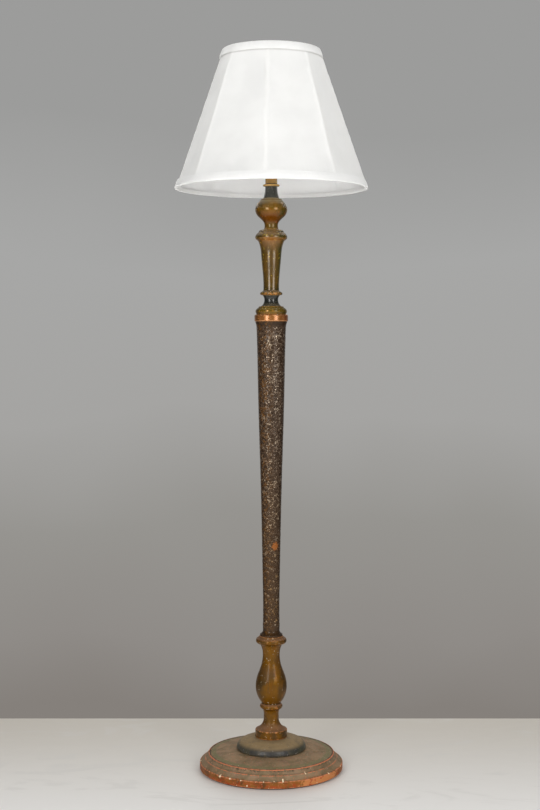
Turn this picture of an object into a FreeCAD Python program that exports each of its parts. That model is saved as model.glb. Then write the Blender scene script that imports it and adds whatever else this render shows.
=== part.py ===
import FreeCAD, Part

# Candlestick floor lamp: turned and painted wood on a threaded pipe, with a panelled fabric shade.
#
# Millimetres, +Z up. The origin is on the floor, on the lamp's own axis, and -Y is the front.
# From the floor up: felt, weighted base, riser, vase pedestal, tapered shaft with a moulded
# relief, collar, cap, spool, trumpet, knop, neck and brass cup. Above them stand the harp
# saddle, the socket with its bulb, and the harp that carries the shade under a small finial.

import math
import os

from FreeCAD import Vector

# ---- driving dimensions ------------------------------------------------------------------

lamp_height = 1575.0          # floor to the shade's top edge and the finial's tip

felt_thickness = 3.0
felt_radius = 152.0
base_radius = 158.0
base_band_top = 18.0          # top of the upright band round the base
base_step = 27.5              # first sharp edge above the band
base_panel_edge = 38.0        # edge of the crowned top panel
base_crown = 45.0             # where the riser stands on the panel
riser_radius = 76.5
riser_top = 71.5
riser_tenon = 16.0            # the pedestal's tenon passes through the riser into the base
riser_tenon_depth = 8.0

pedestal_top = 296.5          # joint between the pedestal and the shaft
shaft_top = 989.0
collar_top = 1004.0
cap_top = 1021.6
spool_top = 1046.0
trumpet_top = 1188.0
knop_top = 1256.0
neck_top = 1282.0
cup_top = 1300.0

pipe_radius = 4.85            # 1/8 IP running thread, 9.7 mm over the thread
pipe_bore = 3.1
pipe_bottom = 18.0
pipe_top = 1312.0
wood_bore = 5.3
tenon_gap = 0.2               # radial play of a tenon in its socket
shaft_tenon = 12.0
shaft_tenon_length = 15.0
shaft_spigot = 22.0           # top of the shaft, that the collar fits round
column_tenon = 9.0            # tenons of the small pieces above the shaft
column_tenon_length = 8.0

recess_radius = 112.0         # hollow under the base that takes the weight
recess_top = 28.0
weight_outer = 108.0
weight_inner = 38.0
weight_bottom = 9.0
weight_screw_circle = 75.0
weight_screw_radius = 2.4
weight_screw_head = 4.8
weight_screw_top = 38.0
lead_radius = 2.6
lead_height = 11.0            # centre of the lead where it crosses the base
bushing_bore = 4.0
bushing_outer = 5.4

saddle_thickness = 2.0
saddle_half_span = 24.0       # harp legs stand this far from the axis
peg_height = 16.0
harp_wire = 1.6
harp_half_width = 58.0
harp_top = 1542.0             # centre of the wire where it crosses the axis
sleeve_length = 16.0

stud_radius = 3.1
spider_height = 1548.0        # underside of the spider's hub
hub_thickness = 2.0

shade_bottom = 1276.5
shade_top_radius = 106.0      # outside of the cloth at the top ring
shade_bottom_radius = 208.3   # outside of the cloth at the bottom ring
shade_edge = 3.0              # from each ring's centre to the shade's edge
shade_panels = 8
shade_turn = 3.5              # degrees that the front rib stands left of the front
rib_drift = {1: 2.6, 7: 1.1}  # degrees that a hand-set rib's foot stands left of its head
panel_flatness = 0.8          # share of a full chord that the cloth pulls in between ribs
panel_round = 5.0             # the cloth is still round this far from each ring
panel_drawn = 70.0            # and is fully drawn in from here on
cloth_thickness = 0.8
cloth_gap = 0.3               # between the cloth, the wires and the lining
lining_thickness = 0.5
ring_wire = 1.5
rib_wire = 1.1
trim_height = 18.0
tape_thickness = 0.8
tape_inside = 8.0             # width of the tape that is turned inside
spider_turn = 20.0            # degrees from the front rib to the first arm
spider_wire = 1.7

socket_bottom = 1307.0
cap_rim = 1334.0              # where the socket's cap and shell meet
cap_wall = 0.6
shell_top = 1378.0
shell_radius = 16.6
shell_wall = 0.5
body_radius = 15.0
body_top = 1350.0
contact_floor = 1347.0
screw_shell_radius = 13.9
switch_height = 1346.0        # axis of the switch
stem_radius = 2.0
stem_end = -24.0              # the spindle's outer end, in front of the axis

bulb_radius = 30.0
bulb_widest = 1424.0
bulb_tip_bottom = 1348.0
bulb_thread = 13.1
bulb_thread_top = 1376.0
thread_pitch = 3.6
glass_wall = 1.0

# ---- small helpers -----------------------------------------------------------------------


def edges_of(outline):
    """Edges through an outline in the XZ plane. An item is (r, z) for a line to that point,
    ("arc", (r, z), (r, z)) for an arc through one point to another, or ("curve", [(r, z), ...])."""
    here = Vector(outline[0][0], 0, outline[0][1])
    edges = []
    for item in outline[1:]:
        if item[0] == "arc":
            middle = Vector(item[1][0], 0, item[1][1])
            there = Vector(item[2][0], 0, item[2][1])
            edges.append(Part.Arc(here, middle, there).toShape())
        elif item[0] == "curve":
            points = [here] + [Vector(r, 0, z) for r, z in item[1]]
            spline = Part.BSplineCurve()
            spline.interpolate(points)
            edges.append(spline.toShape())
            there = points[-1]
        else:
            there = Vector(item[0], 0, item[1])
            edges.append(Part.LineSegment(here, there).toShape())
        here = there
    start = Vector(outline[0][0], 0, outline[0][1])
    if (here - start).Length > 1e-6:
        edges.append(Part.LineSegment(here, start).toShape())
    return edges


def dome(radius, centre, direction):
    """Middle and end of a quarter arc centred on the axis, ending on the axis above or below it."""
    slant = radius * math.sin(math.pi / 4)
    return ("arc", (slant, centre + direction * slant), (0.0, centre + direction * radius))


def turned(outline):
    """A solid turned about the lamp's axis from a closed outline of (r, z)."""
    face = Part.Face(Part.Wire(edges_of(outline)))
    solid = face.revolve(Vector(0, 0, 0), Vector(0, 0, 1), 360)
    return solid if solid.Volume > 0 else solid.reversed()


def cylinder(radius, bottom, top, x=0.0, y=0.0):
    return Part.makeCylinder(radius, top - bottom, Vector(x, y, bottom), Vector(0, 0, 1))


def tube(outer, inner, bottom, top, x=0.0, y=0.0):
    return cylinder(outer, bottom, top, x, y).cut(cylinder(inner, bottom, top, x, y))


def rod(start, end, radius):
    start, end = Vector(*start), Vector(*end)
    return Part.makeCylinder(radius, (end - start).Length, start, end - start)


def hexagon(across_flats, bottom, top, bore):
    corner = across_flats / math.sqrt(3)
    points = [
        Vector(corner * math.cos(math.radians(60 * k)), corner * math.sin(math.radians(60 * k)), bottom)
        for k in range(7)
    ]
    solid = Part.Face(Part.makePolygon(points)).extrude(Vector(0, 0, top - bottom))
    return solid.cut(cylinder(bore, bottom, top))


def rounded_path(points, bend):
    """Straight runs through the points, joined by tangent arcs of about the bend radius."""
    points = [Vector(*p) for p in points]
    edges = []
    here = points[0]
    for before, corner, after in zip(points, points[1:], points[2:]):
        into = (corner - before).normalize()
        out = (after - corner).normalize()
        turn = into.getAngle(out)
        room = 0.45 * min((corner - before).Length, (after - corner).Length)
        reach = min(bend * math.tan(turn / 2), room)
        arc_start = corner - into * reach
        arc_end = corner + out * reach
        radius = reach / math.tan(turn / 2)
        centre = corner + (out - into).normalize() * (radius / math.cos(turn / 2))
        middle = centre + (corner - centre).normalize() * radius
        edges.append(Part.LineSegment(here, arc_start).toShape())
        edges.append(Part.Arc(arc_start, middle, arc_end).toShape())
        here = arc_end
    edges.append(Part.LineSegment(here, points[-1]).toShape())
    return Part.Wire(edges)


def wire_solid(points, radius, bend):
    """A round wire or lead of that radius along a rounded path."""
    path = rounded_path(points, bend)
    start = path.Vertexes[0].Point
    way = Vector(*points[1]) - Vector(*points[0])
    section = Part.Wire(Part.makeCircle(radius, start, way))
    return path.makePipeShell([section], True, False)


def polar(radius, degrees, height):
    """A point at an angle from the front, turning to the left as seen from the front."""
    angle = math.radians(degrees)
    return Vector(-radius * math.sin(angle), -radius * math.cos(angle), height)


# ---- base --------------------------------------------------------------------------------


def felt_pad():
    return cylinder(felt_radius, 0, felt_thickness)


def base_plinth():
    """A turned disc: upright band, two coves with sharp edges, and a crowned top panel."""
    cove_foot = base_radius - 0.6
    first_edge = base_radius - 11.5
    ledge = base_radius - 15.5
    panel_radius = base_radius - 20.0
    outline = [
        (recess_radius, felt_thickness),
        (base_radius - 1.0, felt_thickness),
        (base_radius, felt_thickness + 1.0),
        (base_radius, base_band_top - 1.0),
        (cove_foot, base_band_top),
        ("arc", (base_radius - 8.0, base_band_top + 3.2), (first_edge, base_step - 1.0)),
        (first_edge, base_step),
        (ledge, base_step + 0.6),
        ("arc", (ledge - 2.6, base_step + 3.6), (panel_radius + 0.8, base_panel_edge - 0.8)),
        (panel_radius - 0.6, base_panel_edge),
        (panel_radius - 3.5, base_panel_edge - 0.6),
        ("arc", (110.0, base_crown - 3.6), (riser_radius, base_crown)),
        (riser_tenon + tenon_gap, base_crown),
        (riser_tenon + tenon_gap, base_crown - riser_tenon_depth),
        (wood_bore, base_crown - riser_tenon_depth),
        (wood_bore, recess_top),
        (recess_radius, recess_top),
    ]
    outlet = rod((0, recess_radius - 5, lead_height), (0, base_radius + 5, lead_height), bushing_outer)
    return turned(outline).cut(outlet).cut(weight_screw_holes(0.0))


def base_riser():
    """The dark cushion-shaped turning under the pedestal."""
    bore = riser_tenon + tenon_gap
    outline = [
        (bore, base_crown),
        (riser_radius - 1.2, base_crown),
        ("arc", (riser_radius, base_crown + 3.0), (riser_radius - 0.6, base_crown + 6.5)),
        ("arc", (riser_radius - 5.0, base_crown + 15.0), (riser_radius - 16.5, base_crown + 21.5)),
        ("arc", (50.0, base_crown + 25.2), (36.5, riser_top)),
        (bore, riser_top),
    ]
    return turned(outline)


def base_weight():
    """A cast ring with a slot at the back for the lead."""
    ring = tube(weight_outer, weight_inner, weight_bottom, recess_top)
    slot_half = 7.0
    slot = Part.makeBox(2 * slot_half, weight_outer, recess_top, Vector(-slot_half, 0, 0))
    return ring.cut(slot).cut(weight_screw_holes(0.3))


def weight_screw_places():
    return [polar(weight_screw_circle, 120 * k, 0) for k in range(3)]


def weight_screw_holes(play):
    """Counterbored holes for the three screws."""
    holes = []
    for place in weight_screw_places():
        head = cylinder(weight_screw_head + play, weight_bottom, weight_bottom + 3.0, place.x, place.y)
        shank = cylinder(weight_screw_radius + play, weight_bottom, weight_screw_top, place.x, place.y)
        holes.append(head.fuse(shank))
    return Part.makeCompound(holes)


def weight_screws():
    """Three round-headed screws up into the wood."""
    screws = []
    for place in weight_screw_places():
        low = weight_bottom + 0.4
        head = cylinder(weight_screw_head, low, weight_bottom + 3.0, place.x, place.y)
        shank = cylinder(weight_screw_radius, weight_bottom + 3.0, weight_screw_top, place.x, place.y)
        slot = Part.makeBox(10, 1.2, 1.2, Vector(place.x - 5, place.y - 0.6, low))
        screws.append(head.fuse(shank).cut(slot))
    return Part.makeCompound(screws)


def outlet_bushing():
    """The flanged bush at the back of the base, where the supply lead goes in."""
    inner_end = recess_radius - 1.0
    flange_inner = base_radius - 1.2
    outer_end = base_radius + 1.4
    body = rod((0, inner_end, lead_height), (0, flange_inner, lead_height), bushing_outer)
    flange = rod((0, flange_inner, lead_height), (0, outer_end, lead_height), bushing_outer + 1.4)
    skirt = flange.cut(Part.makeCylinder(base_radius, 60, Vector(0, 0, 0), Vector(0, 0, 1)))
    bore = rod((0, inner_end, lead_height), (0, outer_end, lead_height), bushing_bore)
    tip = rod((0, flange_inner, lead_height), (0, outer_end, lead_height), bushing_outer)
    return body.fuse(tip).fuse(skirt).removeSplitter().cut(bore)


def inner_lead():
    """The lead inside the lamp: from behind the bushing to the middle, then up the pipe."""
    points = [
        (0, recess_radius - 4.0, lead_height),
        (0, 0, lead_height),
        (0, 0, pipe_top + 1.0),
    ]
    return wire_solid(points, lead_radius, 7.0)


# ---- pipe and its hardware ---------------------------------------------------------------


def stem_pipe():
    return tube(pipe_radius, pipe_bore, pipe_bottom, pipe_top)


def foot_washer():
    return tube(15.0, wood_bore, recess_top - 2.0, recess_top)


def foot_nut():
    return hexagon(15.0, recess_top - 7.5, recess_top - 2.0, pipe_radius)


# ---- turned column -----------------------------------------------------------------------


def pedestal():
    """Foot ring, cove, ring and vase, with a heavy ring at the top."""
    outline = [
        (wood_bore, base_crown - riser_tenon_depth),
        (riser_tenon, base_crown - riser_tenon_depth),
        (riser_tenon, riser_top),
        (34.6, riser_top),
        (35.2, riser_top + 0.8),
        (35.2, 88.0),
        (34.2, 89.4),
        ("arc", (22.4, 97.3), (16.7, 117.0)),
        ("arc", (16.9, 127.0), (18.6, 132.6)),
        (20.4, 134.2),
        ("arc", (25.1, 139.5), (21.4, 145.4)),
        (20.3, 147.2),
        ("curve", [(28.6, 159.4), (34.3, 184.0), (30.0, 209.4), (22.6, 229.5), (18.7, 252.0),
                   (20.2, 268.0), (24.2, 277.6)]),
        (27.6, 279.4),
        ("arc", (33.9, 285.6), (31.6, 291.6)),
        (27.2, 293.8),
        (26.2, pedestal_top),
        (shaft_tenon + tenon_gap, pedestal_top),
        (shaft_tenon + tenon_gap, pedestal_top - shaft_tenon_length),
        (wood_bore, pedestal_top - shaft_tenon_length),
    ]
    return turned(outline)


def shaft():
    """The long tapered shaft. Its moulded relief is a surface finish, under 1 mm deep."""
    outline = [
        (wood_bore, pedestal_top - shaft_tenon_length),
        (shaft_tenon, pedestal_top - shaft_tenon_length),
        (shaft_tenon, pedestal_top),
        (25.2, pedestal_top),
        (25.2, 300.8),
        ("arc", (20.4, 304.2), (18.7, 312.0)),
        ("curve", [(18.3, 326.0), (19.0, 430.0), (21.1, 545.0), (24.4, 675.0), (28.6, 825.0),
                   (30.7, 930.0), (31.9, 971.0)]),
        ("arc", (33.2, 981.5), (35.6, shaft_top)),
        (shaft_spigot, shaft_top),
        (shaft_spigot, collar_top),
        (wood_bore, collar_top),
    ]
    return turned(outline)


def shaft_collar():
    outline = [
        (shaft_spigot + tenon_gap, shaft_top),
        (36.0, shaft_top),
        (36.9, shaft_top + 1.2),
        (36.9, collar_top - 2.2),
        (35.9, collar_top - 1.0),
        (34.6, collar_top),
        (shaft_spigot + tenon_gap, collar_top),
    ]
    return turned(outline)


def shaft_cap():
    """The bead above the collar."""
    outline = [
        (wood_bore, collar_top),
        (32.8, collar_top),
        (32.8, collar_top + 2.4),
        ("arc", (34.6, 1010.6), (32.2, 1015.6)),
        ("arc", (30.4, 1017.6), (27.6, 1019.0)),
        (27.4, cap_top),
        (column_tenon + tenon_gap, cap_top),
        (column_tenon + tenon_gap, cap_top - column_tenon_length),
        (wood_bore, cap_top - column_tenon_length),
    ]
    return turned(outline)


def spool():
    """The dark waisted piece between the cap and the trumpet."""
    outline = [
        (wood_bore, cap_top - column_tenon_length),
        (column_tenon, cap_top - column_tenon_length),
        (column_tenon, cap_top),
        (23.2, cap_top),
        ("arc", (17.0, 1028.0), (15.3, 1036.6)),
        ("arc", (16.4, 1042.2), (19.4, spool_top)),
        (column_tenon, spool_top),
        (column_tenon, spool_top + column_tenon_length),
        (wood_bore, spool_top + column_tenon_length),
    ]
    return turned(outline)


def trumpet():
    """A flaring turning with a thin ring below and a heavy one above."""
    outline = [
        (column_tenon + tenon_gap, spool_top),
        (21.6, spool_top),
        ("arc", (24.7, 1048.8), (21.8, 1053.0)),
        (17.4, 1056.0),
        ("curve", [(17.3, 1074.0), (19.2, 1101.0), (21.9, 1130.0), (24.6, 1152.0), (28.4, 1163.4)]),
        ("arc", (31.0, 1165.6), (34.2, 1168.0)),
        ("arc", (35.3, 1171.6), (32.9, 1177.4)),
        ("arc", (30.8, 1180.2), (27.6, 1182.0)),
        ("arc", (26.9, 1185.2), (23.6, 1187.4)),
        (22.6, trumpet_top),
        (column_tenon + tenon_gap, trumpet_top),
        (column_tenon + tenon_gap, trumpet_top - column_tenon_length),
        (wood_bore, trumpet_top - column_tenon_length),
        (wood_bore, spool_top + column_tenon_length),
        (column_tenon + tenon_gap, spool_top + column_tenon_length),
    ]
    return turned(outline)


def knop():
    """The onion-shaped knop on its short stem."""
    outline = [
        (wood_bore, trumpet_top - column_tenon_length),
        (column_tenon, trumpet_top - column_tenon_length),
        (column_tenon, trumpet_top),
        (16.6, trumpet_top),
        ("arc", (14.7, 1194.0), (15.6, 1203.0)),
        ("curve", [(20.4, 1209.4), (30.4, 1219.0), (35.0, 1231.6), (30.6, 1244.6), (25.6, 1250.6)]),
        (24.4, 1251.4),
        (23.6, 1253.6),
        (18.6, knop_top),
        (column_tenon + tenon_gap, knop_top),
        (column_tenon + tenon_gap, knop_top - column_tenon_length),
        (wood_bore, knop_top - column_tenon_length),
    ]
    return turned(outline)


def neck():
    """The dark neck under the brass cup."""
    outline = [
        (wood_bore, knop_top - column_tenon_length),
        (column_tenon, knop_top - column_tenon_length),
        (column_tenon, knop_top),
        (17.4, knop_top),
        ("arc", (14.6, 1266.0), (13.4, neck_top)),
        (wood_bore, neck_top),
    ]
    return turned(outline)


def cup():
    """The brass cup: a rolled flange and a short tube, closed by its top."""
    wall = 1.2
    outline = [
        (wood_bore, neck_top),
        (16.6, neck_top),
        ("arc", (18.4, neck_top + 2.0), (16.6, neck_top + 4.0)),
        (13.1, neck_top + 4.6),
        (13.1, cup_top - 0.8),
        (12.3, cup_top),
        (wood_bore, cup_top),
        (wood_bore, cup_top - wall),
        (13.1 - wall, cup_top - wall),
        (13.1 - wall, neck_top + wall),
        (wood_bore, neck_top + wall),
    ]
    return turned(outline)


# ---- harp --------------------------------------------------------------------------------

saddle_top = cup_top + saddle_thickness
peg_top = saddle_top + peg_height


def harp_saddle():
    """A pressed strip with a hole for the pipe and an upright peg at each end."""
    half_width = 6.0
    corner = Vector(-saddle_half_span, -half_width, cup_top)
    strip = Part.makeBox(2 * saddle_half_span, 2 * half_width, saddle_thickness, corner)
    strip = strip.fuse(cylinder(11.0, cup_top, saddle_top))
    for side in (-1, 1):
        x = side * saddle_half_span
        strip = strip.fuse(cylinder(half_width, cup_top, saddle_top, x))
        strip = strip.fuse(cylinder(harp_wire, saddle_top, peg_top, x))
    return strip.cut(cylinder(pipe_radius + 0.3, cup_top, saddle_top)).removeSplitter()


def harp():
    """One bent wire, from peg to peg over the bulb."""
    foot = peg_top + 0.5
    side = [
        (saddle_half_span, foot),
        (saddle_half_span, foot + 29.0),
        (saddle_half_span + 24.0, 1386.0),
        (harp_half_width, bulb_widest),
        (harp_half_width - 2.0, 1474.0),
        (harp_half_width - 18.0, 1522.0),
        (20.0, harp_top),
    ]
    right = [(x, 0, z) for x, z in side]
    left = [(-x, 0, z) for x, z in reversed(side)]
    return wire_solid(right + left, harp_wire, 50.0)


def harp_stud():
    """The collar on the harp's top and the threaded stud that holds the shade."""
    collar = cylinder(7.0, harp_top - 3.6, spider_height)
    stud = cylinder(stud_radius, spider_height, spider_height + 13.0)
    hole = rod((-10, 0, harp_top), (10, 0, harp_top), harp_wire + 0.02)
    return collar.fuse(stud).cut(hole)


def sleeve(side):
    """The sleeve that locks a leg to its peg. It slides up to free the harp."""
    x = side * saddle_half_span
    bottom = saddle_top + 6.0
    top = bottom + sleeve_length
    body = cylinder(4.0, bottom, top, x)
    for height in (bottom, top - 2.0):
        body = body.fuse(cylinder(4.6, height, height + 2.0, x))
    return body.cut(cylinder(harp_wire + 0.08, bottom, top, x)).removeSplitter()


def finial():
    """A small turned knob with a blind threaded hole."""
    foot = spider_height + hub_thickness
    bore = stud_radius + 0.06
    tip = 4.4
    outline = [
        (bore, foot),
        (9.0, foot),
        (9.4, foot + 1.2),
        (8.6, foot + 3.0),
        ("arc", (5.6, foot + 5.4), (5.2, foot + 8.4)),
        ("arc", (9.0, foot + 14.0), (5.2, foot + 19.6)),
        (tip, lamp_height - tip),
        dome(tip, lamp_height - tip, 1),
        (0.0, foot + 12.0),
        (bore, foot + 12.0),
    ]
    return turned(outline)


# ---- socket ------------------------------------------------------------------------------

set_screw_height = socket_bottom + 3.5
set_screw_radius = 1.6


def saddle_nut():
    return hexagon(14.0, saddle_top, socket_bottom, pipe_radius + 0.02)


def socket_cap():
    """The brass cap, screwed on the pipe and pierced for its set screw."""
    bore = pipe_radius + 0.02
    outer = shell_radius + 0.8
    neck = 7.6
    flare = cap_rim - 8.0
    outline = [
        (bore, socket_bottom),
        (neck, socket_bottom),
        (neck, socket_bottom + 7.0),
        ("arc", (13.6, socket_bottom + 11.0), (outer, flare)),
        (outer, cap_rim),
        (outer - cap_wall, cap_rim),
        (outer - cap_wall, flare + 0.2),
        ("arc", (13.2, socket_bottom + 11.8), (neck - 0.2, socket_bottom + 8.0)),
        (bore, socket_bottom + 6.0),
    ]
    hole = rod((-4.0, 0, set_screw_height), (-12.0, 0, set_screw_height), set_screw_radius + 0.02)
    return turned(outline).cut(hole)


def cap_screw():
    """The set screw in the cap's neck, with its driver slot."""
    screw = rod((-5.4, 0, set_screw_height), (-10.4, 0, set_screw_height), set_screw_radius)
    slot = Part.makeBox(1.0, 4.0, 0.5, Vector(-10.4, -2.0, set_screw_height - 0.25))
    return screw.cut(slot)


def socket_shell():
    """The brass shell with its bead and rolled mouth, pierced for the switch stem."""
    inner = shell_radius - shell_wall
    outline = [
        (inner, cap_rim - 6.0),
        (shell_radius, cap_rim - 6.0),
        (shell_radius, cap_rim + 0.4),
        ("arc", (shell_radius + 1.4, cap_rim + 2.2), (shell_radius, cap_rim + 4.0)),
        (shell_radius, shell_top - 4.0),
        ("arc", (shell_radius + 1.2, shell_top - 2.0), (shell_radius + 0.2, shell_top)),
        (inner, shell_top),
    ]
    return turned(outline).cut(switch_hole(0.6))


def switch_hole(play):
    """The hole round the spindle, through whatever wall stands at the shell's radius."""
    inside = (0, -shell_radius + 5, switch_height)
    outside = (0, -shell_radius - 5, switch_height)
    return rod(inside, outside, stem_radius + play)


def shell_liner():
    """The fibre sleeve between the shell and the live parts."""
    outer = shell_radius - shell_wall - 0.15
    return tube(outer, outer - 0.7, cap_rim - 4.0, shell_top - 2.0).cut(switch_hole(0.8))


def socket_body():
    """The moulded interior that carries the terminals and the switch."""
    bottom = cap_rim - 14.0
    bore = lead_radius + 1.0
    outline = [
        (bore, bottom),
        (11.0, bottom),
        (12.6, bottom + 4.0),
        (13.6, cap_rim - 5.0),
        (body_radius, cap_rim - 3.0),
        (body_radius, body_top),
        (body_radius - 0.6, body_top),
        (body_radius - 0.6, contact_floor),
        (bore, contact_floor),
    ]
    switch_corner = Vector(-3.5, -body_radius - 2, switch_height - 4.0)
    switch_way = Part.makeBox(7.0, body_radius + 2, 8.0, switch_corner)
    pockets = [
        Part.makeBox(5.0, 7.0, 8.0, Vector(side * 12.8 - 2.5, -3.5, cap_rim - 4.0))
        for side in (-1, 1)
    ]
    return turned(outline).cut(switch_way).cut(Part.makeCompound(pockets))


def terminal_screws():
    """The two screws that clamp the lead's ends."""
    screws = []
    for side in (-1, 1):
        head = rod((side * 10.4, 0, cap_rim), (side * 12.6, 0, cap_rim), 2.6)
        slot = Part.makeBox(1.0, 6.0, 0.8, Vector(side * 12.2 - 0.5, -3.0, cap_rim - 0.4))
        screws.append(head.cut(slot))
    return Part.makeCompound(screws)


def screw_shell():
    """The threaded metal liner that the bulb screws into."""
    bottom = body_top + 0.2
    top = shell_top - 5.0
    inner = screw_shell_radius - 0.3
    outer = screw_shell_radius + 0.3
    first = bottom + 2.0
    outline = [(inner, bottom), (outer, bottom), (outer, first)]
    for k in range(4):
        low = first + k * thread_pitch
        outline.append(("arc", (outer + 0.6, low + thread_pitch / 2), (outer, low + thread_pitch)))
    outline += [(outer, top), (inner, top)]
    return turned(outline)


def centre_contact():
    """The sprung tab under the bulb's tip."""
    tab = Part.makeBox(4.0, 9.0, 0.4, Vector(-2.0, 0, contact_floor + 0.2))
    foot = Part.makeBox(4.0, 1.6, 0.2, Vector(-2.0, 7.4, contact_floor))
    return tab.fuse(foot).removeSplitter()


def switch_stem():
    """The switch's spindle, from the body out through the shell."""
    return rod((0, -5.0, switch_height), (0, stem_end, switch_height), stem_radius)


def switch_key():
    """The paddle key on the spindle."""
    start = -20.0
    paddle_start = -23.0
    paddle_end = -34.0
    half_width = 6.5
    half_thickness = 1.7
    hub = rod((0, start, switch_height), (0, start - 6.0, switch_height), 4.6)
    corner = Vector(-half_width, paddle_end, switch_height - half_thickness)
    paddle = Part.makeBox(2 * half_width, paddle_start - paddle_end, 2 * half_thickness, corner)
    outline = cylinder(7.4, switch_height - 5.0, switch_height + 5.0, 0, paddle_end + 8.2)
    key = hub.fuse(paddle.common(outline))
    socket = rod((0, start, switch_height), (0, stem_end, switch_height), stem_radius)
    return key.cut(socket).removeSplitter()


# ---- bulb --------------------------------------------------------------------------------

neck_bottom = bulb_thread_top - 6.0
neck_radius = 11.3


def bulb_glass():
    """A closed glass envelope of the common household shape."""
    inside = bulb_radius - glass_wall
    slant = inside * math.sin(math.pi / 4)
    outline = [
        (neck_radius, neck_bottom),
        (neck_radius, bulb_thread_top + 0.5),
        ("curve", [(14.5, 1386.0), (24.4, 1403.0), (bulb_radius, bulb_widest)]),
        dome(bulb_radius, bulb_widest, 1),
        (0, bulb_widest + inside),
        ("arc", (slant, bulb_widest + slant), (inside, bulb_widest)),
        ("curve", [(23.5, 1403.5), (13.6, 1386.6), (neck_radius - glass_wall, bulb_thread_top + 0.5)]),
        (neck_radius - glass_wall, neck_bottom),
    ]
    return turned(outline)


def bulb_base():
    """The screw base, with its rounded thread drawn as rings."""
    wall = 0.4
    bottom = 1352.0
    first = bottom + 3.0
    root = bulb_thread - 1.1
    last = first + 4 * thread_pitch
    outline = [(7.0, bottom), (root, first)]
    for k in range(4):
        low = first + k * thread_pitch
        outline.append(("arc", (bulb_thread, low + thread_pitch / 2), (root, low + thread_pitch)))
    outline += [
        (bulb_thread - 0.3, last + 1.4),
        (bulb_thread - 0.1, bulb_thread_top),
        (bulb_thread - 0.1 - wall, bulb_thread_top),
        (bulb_thread - 0.3 - wall, last + 1.6),
        (root - wall, last + 0.2),
        (root - wall, first + 0.2),
        (7.0, bottom + wall),
    ]
    return turned(outline)


def bulb_insulator():
    """The black glass ring between the screw base and the tip."""
    low, high = 1350.0, 1352.4
    return turned([(4.0, low + 2.0), (4.0, high), (7.0, high), (7.0, high - 0.4), (5.4, low)])


def bulb_tip():
    """The solder tip."""
    radius = 4.0
    foot = bulb_tip_bottom + radius
    return turned([(0, foot), (radius, foot), dome(radius, foot, -1)])


def bulb_stem():
    """The glass stem inside the envelope that carries the filament's supports."""
    return turned([(0, 1372.0), (9.0, 1372.0), (9.0, 1374.0), (4.0, 1382.0), (3.0, 1402.0), (0, 1404.0)])


def filament():
    """The filament's wire and its two supports, bent from one run."""
    route = [(-2.0, 0, 1402.6), (-13.0, 0, 1426.0), (13.0, 0, 1426.0), (2.0, 0, 1402.6)]
    return wire_solid(route, 0.5, 3.0).cut(bulb_stem())


# ---- shade -------------------------------------------------------------------------------

ring_top = lamp_height - shade_edge
ring_bottom = shade_bottom + shade_edge
cone_slope = (shade_bottom_radius - shade_top_radius) / (ring_top - ring_bottom)

# every layer is set in from the outside of the cloth, along the radius
ring_inset = cloth_thickness + cloth_gap + ring_wire
rib_inset = cloth_thickness + cloth_gap + rib_wire
lining_inset = cloth_thickness + 2 * cloth_gap + 2 * ring_wire
trim_depth = lining_inset + lining_thickness + cloth_gap


def cone_radius(height):
    """Outside radius of the cloth at a rib, at that height."""
    return shade_top_radius + cone_slope * (ring_top - height)


def rib_angle(k, height):
    """Where rib k stands at that height, in degrees to the left of the front. It runs straight from
    ring to ring, so a drifting rib has turned further at mid height than halfway."""
    towards_foot = (ring_top - height) / (ring_top - ring_bottom)
    share = towards_foot * cone_radius(ring_bottom) / cone_radius(height)
    return shade_turn + k * 360.0 / shade_panels + rib_drift.get(k % shade_panels, 0.0) * share


def panel_pull(height):
    """How far the middle of a panel pulls in towards a straight chord, at that height."""
    chord_depth = cone_radius(height) * (1 - math.cos(math.pi / shade_panels))
    to_ring = min(height - ring_bottom, ring_top - height)
    share = min(max(to_ring - panel_round, 0.0) / (panel_drawn - panel_round), 1.0)
    return panel_flatness * chord_depth * math.sin(share * math.pi / 2)


def panel_section(k, height, outside, inside):
    """One panel's closed section: two arcs and the two short edges between them."""
    start = rib_angle(k, height)
    end = rib_angle(k + 1, height)
    middle = (start + end) / 2
    pull = panel_pull(height)
    corners = [polar(outside, start, height), polar(outside, end, height),
               polar(inside, end, height), polar(inside, start, height)]
    outer = Part.Arc(corners[0], polar(outside - pull, middle, height), corners[1])
    inner = Part.Arc(corners[2], polar(inside - pull, middle, height), corners[3])
    end_edge = Part.LineSegment(corners[1], corners[2])
    start_edge = Part.LineSegment(corners[3], corners[0])
    return Part.Wire([edge.toShape() for edge in (outer, end_edge, inner, start_edge)])


def panels(inset, thickness):
    """The panels of one layer of cloth, that far inside the cone."""
    steps = [0.0, panel_round, 20.0, 42.0, panel_drawn]
    heights = [ring_bottom + step for step in steps] + [ring_top - step for step in reversed(steps)]
    solids = []
    for k in range(shade_panels):
        sections = []
        for height in heights:
            outside = cone_radius(height) - inset
            sections.append(panel_section(k, height, outside, outside - thickness))
        solids.append(Part.makeLoft(sections, True, True))
    return Part.makeCompound(solids)


def shade_cloth():
    return panels(0.0, cloth_thickness)


def shade_ring(height):
    radius = cone_radius(height) - ring_inset
    return Part.makeTorus(radius, ring_wire, Vector(0, 0, height), Vector(0, 0, 1))


def shade_ribs():
    """The upright wires, welded to both rings."""
    rings = Part.makeCompound([shade_ring(ring_bottom), shade_ring(ring_top)])
    ribs = []
    for k in range(shade_panels):
        foot = polar(cone_radius(ring_bottom) - rib_inset, rib_angle(k, ring_bottom), ring_bottom)
        head = polar(cone_radius(ring_top) - rib_inset, rib_angle(k, ring_top), ring_top)
        ribs.append(rod(foot, head, rib_wire).cut(rings))
    return Part.makeCompound(ribs)


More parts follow.
